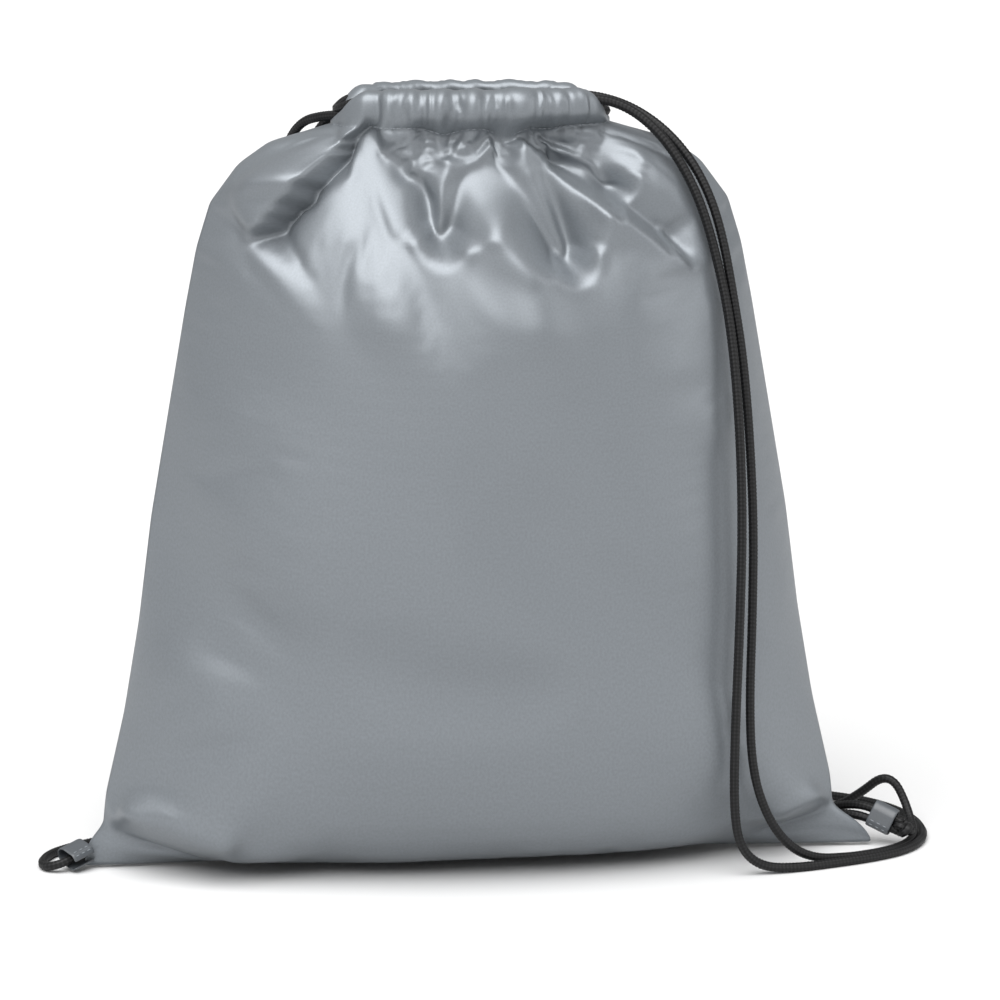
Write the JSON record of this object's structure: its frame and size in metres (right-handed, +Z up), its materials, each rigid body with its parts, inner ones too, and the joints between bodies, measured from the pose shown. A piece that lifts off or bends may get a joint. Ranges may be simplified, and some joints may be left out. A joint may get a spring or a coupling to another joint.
{
  "type": "shoe bag",
  "caption": "Drawstring sack of thin smooth cloth for a pair of shoes, stuffed and standing with its mouth drawn shut, with round cords and corner loops.",
  "frame": {"origin": "on the floor, under the middle of the standing bag", "axes": "+X to the right side seam seen from the front, +Y to the back, +Z up"},
  "size_m": [0.3946, 0.1563, 0.337],
  "materials": {
    "cloth": "smooth grey polyester taffeta, satin",
    "seam_allowance": "overlocked raw edges of the same cloth",
    "tab_cloth": "folded and pressed cloth, satin",
    "thread": "grey polyester sewing thread",
    "cord": "black braided polyester"
  },
  "bodies": {
    "bag": {"front_panel": "cloth", "back_panel": "cloth", "front_hem": "cloth", "back_hem": "cloth", "left_side_seam": "seam_allowance", "right_side_seam": "seam_allowance", "bottom_seam": "seam_allowance", "front_hem_stitching": "thread", "back_hem_stitching": "thread", "left_cord": "cord", "right_cord": "cord", "left_knot": "cord", "right_knot": "cord"},
    "left_loop": {"left_tab": "tab_cloth", "left_tab_stitching": "thread"},
    "right_loop": {"right_tab": "tab_cloth", "right_tab_stitching": "thread"}
  },
  "joints": [
    {"name": "left_tab_bend", "type": "hinge", "parent": "bag", "child": "left_loop", "pos_m": [-0.168, -0.006, 0.0043], "axis": [0.7735, 0.5936, 0.2219], "range_deg": [-5, 5]},
    {"name": "right_tab_bend", "type": "hinge", "parent": "bag", "child": "right_loop", "pos_m": [0.18, 0, 0.007], "axis": [0.8279, -0.4189, -0.3729], "range_deg": [-5, 5]}
  ]
}
